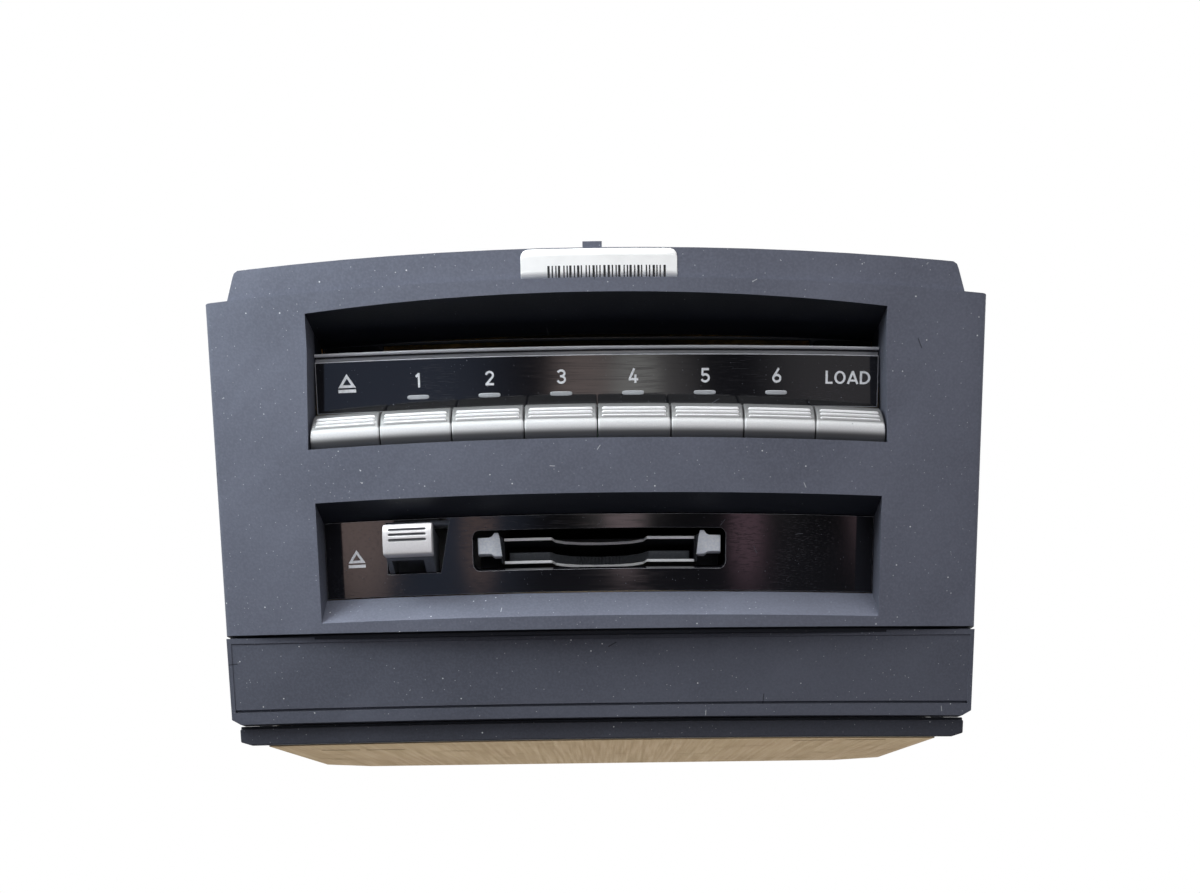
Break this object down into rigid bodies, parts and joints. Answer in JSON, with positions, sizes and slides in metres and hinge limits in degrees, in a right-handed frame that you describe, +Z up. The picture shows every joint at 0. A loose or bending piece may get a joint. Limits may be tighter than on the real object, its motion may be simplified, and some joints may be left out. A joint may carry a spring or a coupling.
{
  "type": "car radio with disc changer",
  "caption": "Dashboard head unit with a leaning, bowed front, a pocket with a disc slot over a row of silver keys, and a card slot with an eject button below.",
  "frame": {"origin": "on the flat underside of the chassis, on the centre line, 5 mm behind the front edge of its floor", "axes": "+X to the right of someone facing the front, +Y into the dashboard, +Z up"},
  "size_m": [0.2192, 0.214, 0.1262],
  "materials": {
    "matt_slate": "fine soft-touch grain",
    "gloss_black": "high gloss",
    "smoked_clear": "smoked, slightly diffusing",
    "satin_silver": "satin silver paint",
    "black": "moulded satin",
    "grey": "moulded satin",
    "board_green": "solder mask",
    "gold_steel": "yellow passivated zinc",
    "steel": "bright zinc",
    "alloy": "cast",
    "rubber": "matt",
    "brass": "machined"
  },
  "bodies": {
    "housing": {"front_fascia": "matt_slate", "lower_trim": "matt_slate", "bottom_flange": "matt_slate", "carrier_frame": "matt_slate", "legend_strip": "gloss_black", "disc_pocket": "gloss_black", "lower_plate": "gloss_black", "light_guide": "smoked_clear", "card_mouth": "grey", "key_board": "board_green", "front_plate": "gold_steel", "chassis_tray": "gold_steel", "top_cover": "gold_steel", "bracket_left": "gold_steel", "bracket_right": "gold_steel", "screw_left_1": "steel", "screw_left_2": "steel", "screw_right_1": "steel", "screw_right_2": "steel", "heat_sink": "alloy", "fan_frame": "black", "main_connector": "black", "optical_connector": "black", "aerial_socket_1": "steel", "aerial_socket_2": "steel", "main_board": "board_green", "card_shelf": "gold_steel", "card_cage": "steel", "disc_magazine": "black", "mech_deck": "steel", "disc_guide": "black", "loading_motor": "steel", "spindle_motor": "steel", "guide_rail_left": "steel", "guide_rail_right": "steel", "sled_motor": "steel"},
    "key_eject": {"key_eject": "satin_silver"},
    "key_1": {"key_1": "satin_silver"},
    "key_2": {"key_2": "satin_silver"},
    "key_3": {"key_3": "satin_silver"},
    "key_4": {"key_4": "satin_silver"},
    "key_5": {"key_5": "satin_silver"},
    "key_6": {"key_6": "satin_silver"},
    "key_load": {"key_load": "satin_silver"},
    "eject_button": {"eject_cap": "satin_silver", "eject_body": "black"},
    "card_ejector": {"card_ejector": "steel"},
    "roller": {"feed_roller": "rubber", "roller_gear": "brass"},
    "pinion": {"motor_pinion": "brass"},
    "turntable": {"turntable": "black"},
    "sled": {"laser_sled": "black"},
    "lead_screw": {"lead_screw": "steel"},
    "fan": {"fan_rotor": "black"}
  },
  "joints": [
    {"name": "key_eject_press", "type": "slide", "parent": "housing", "child": "key_eject", "axis": [0, 1, 0], "range_m": [0, 0.0015], "stiffness_N_per_m": 1200, "springref_m": -0.0005},
    {"name": "key_1_press", "type": "slide", "parent": "housing", "child": "key_1", "axis": [0, 1, 0], "range_m": [0, 0.0015], "stiffness_N_per_m": 1200, "springref_m": -0.0005},
    {"name": "key_2_press", "type": "slide", "parent": "housing", "child": "key_2", "axis": [0, 1, 0], "range_m": [0, 0.0015], "stiffness_N_per_m": 1200, "springref_m": -0.0005},
    {"name": "key_3_press", "type": "slide", "parent": "housing", "child": "key_3", "axis": [0, 1, 0], "range_m": [0, 0.0015], "stiffness_N_per_m": 1200, "springref_m": -0.0005},
    {"name": "key_4_press", "type": "slide", "parent": "housing", "child": "key_4", "axis": [0, 1, 0], "range_m": [0, 0.0015], "stiffness_N_per_m": 1200, "springref_m": -0.0005},
    {"name": "key_5_press", "type": "slide", "parent": "housing", "child": "key_5", "axis": [0, 1, 0], "range_m": [0, 0.0015], "stiffness_N_per_m": 1200, "springref_m": -0.0005},
    {"name": "key_6_press", "type": "slide", "parent": "housing", "child": "key_6", "axis": [0, 1, 0], "range_m": [0, 0.0015], "stiffness_N_per_m": 1200, "springref_m": -0.0005},
    {"name": "key_load_press", "type": "slide", "parent": "housing", "child": "key_load", "axis": [0, 1, 0], "range_m": [0, 0.0015], "stiffness_N_per_m": 1200, "springref_m": -0.0005},
    {"name": "eject_press", "type": "slide", "parent": "housing", "child": "eject_button", "axis": [0, 1, 0], "range_m": [0, 0.006], "stiffness_N_per_m": 400, "springref_m": -0.002},
    {"name": "card_ejector_slide", "type": "slide", "parent": "housing", "child": "card_ejector", "axis": [0, -1, 0], "range_m": [0, 0.006]},
    {"name": "roller_spin", "type": "hinge", "parent": "housing", "child": "roller", "pos_m": [0, -0.019, 0.1026], "axis": [1, 0, 0], "continuous": true},
    {"name": "pinion_spin", "type": "hinge", "parent": "housing", "child": "pinion", "pos_m": [0.065, -0.004, 0.1026], "axis": [1, 0, 0], "continuous": true},
    {"name": "turntable_spin", "type": "hinge", "parent": "housing", "child": "turntable", "pos_m": [0, 0.047, 0.1046], "axis": [0, 0, 1], "continuous": true},
    {"name": "lead_turn", "type": "hinge", "parent": "housing", "child": "lead_screw", "pos_m": [0, 0.0666, 0.0925], "axis": [0, 1, 0], "range_deg": [-1, 3061]},
    {"name": "sled_slide", "type": "slide", "parent": "housing", "child": "sled", "axis": [0, 1, 0], "range_m": [0, 0.017]},
    {"name": "fan_spin", "type": "hinge", "parent": "housing", "child": "fan", "pos_m": [-0.056, 0.121, 0.07], "axis": [0, 1, 0], "continuous": true}
  ],
  "couplings": [
    {"joint": "card_ejector_slide", "follows": "eject_press", "ratio": 1},
    {"joint": "pinion_spin", "follows": "roller_spin", "ratio": -2},
    {"joint": "lead_turn", "follows": "sled_slide", "rad_per_m": 3141.6}
  ]
}
